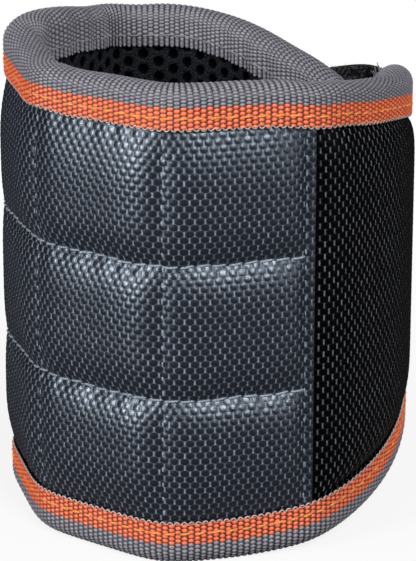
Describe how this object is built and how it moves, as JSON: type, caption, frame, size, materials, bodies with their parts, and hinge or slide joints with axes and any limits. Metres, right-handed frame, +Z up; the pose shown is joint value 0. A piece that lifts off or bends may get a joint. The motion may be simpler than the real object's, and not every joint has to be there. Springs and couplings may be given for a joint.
{
  "type": "magnetic wristband",
  "caption": "Quilted nylon wristband with disc magnets in sewn pockets, bound rims, a folding flap and a hook-and-loop closing strap.",
  "frame": {"origin": "middle of the closed band's footprint, on the surface that its lower rim stands on", "axes": "+Z up along the wrist opening, -Y out of the quilted front, +X towards the closing flap"},
  "size_m": [0.0768, 0.0734, 0.09],
  "materials": {
    "quilt_nylon": "coarse ballistic nylon weave, dark blue grey",
    "black_nylon": "coarse ballistic nylon weave, black",
    "binding_tape": "ribbed woven tape, grey roll with an orange outer stripe",
    "end_tape": "ribbed woven tape, grey",
    "foam": "closed-cell foam sheet",
    "backing_cloth": "plain woven cloth",
    "mesh_lining": "knitted spacer mesh with round holes",
    "loop_pile": "brushed loop pile",
    "strap_pile": "brushed napped strap",
    "hook_tape": "moulded hook tape",
    "magnet_plating": "nickel-plated magnet disc"
  },
  "bodies": {
    "magnet_band": {"magnet_panel": "quilt_nylon", "pocket_backing": "backing_cloth", "band_padding": "foam", "band_lining": "mesh_lining", "band_binding_top": "binding_tape", "band_binding_bottom": "binding_tape", "magnet_row1_column1": "magnet_plating", "magnet_row2_column1": "magnet_plating", "magnet_row3_column1": "magnet_plating", "magnet_row1_column2": "magnet_plating", "magnet_row2_column2": "magnet_plating", "magnet_row3_column2": "magnet_plating", "magnet_row1_column3": "magnet_plating", "magnet_row2_column3": "magnet_plating", "magnet_row3_column3": "magnet_plating", "magnet_row1_column4": "magnet_plating", "magnet_row2_column4": "magnet_plating", "magnet_row3_column4": "magnet_plating"},
    "end_flap": {"flap_panel": "black_nylon", "flap_padding": "foam", "flap_lining": "mesh_lining", "flap_binding_top": "binding_tape", "flap_binding_bottom": "binding_tape", "flap_end_binding": "end_tape"},
    "rear_wrap": {"wrap_panel": "black_nylon", "loop_pile": "loop_pile", "wrap_padding": "foam", "wrap_lining": "mesh_lining", "wrap_binding_top": "binding_tape", "wrap_binding_bottom": "binding_tape", "tongue_end_binding": "end_tape"},
    "closure_strap": {"closing_strap": "strap_pile", "hook_strip": "hook_tape"}
  },
  "joints": [
    {"name": "flap_open", "type": "hinge", "parent": "magnet_band", "child": "end_flap", "pos_m": [0.01998, -0.0295, 0.045], "axis": [0, 0, -1], "range_deg": [0, 100]},
    {"name": "wrap_open", "type": "hinge", "parent": "magnet_band", "child": "rear_wrap", "pos_m": [-0.0221, 0.03214, 0.045], "axis": [0, 0, 1], "range_deg": [0, 70]},
    {"name": "strap_peel", "type": "hinge", "parent": "end_flap", "child": "closure_strap", "pos_m": [0.03326, 0.02411, 0.0465], "axis": [0, 0, -1], "range_deg": [0, 90]}
  ],
  "couplings": [
    {"joint": "wrap_open", "follows": "flap_open", "ratio": 0.7}
  ]
}
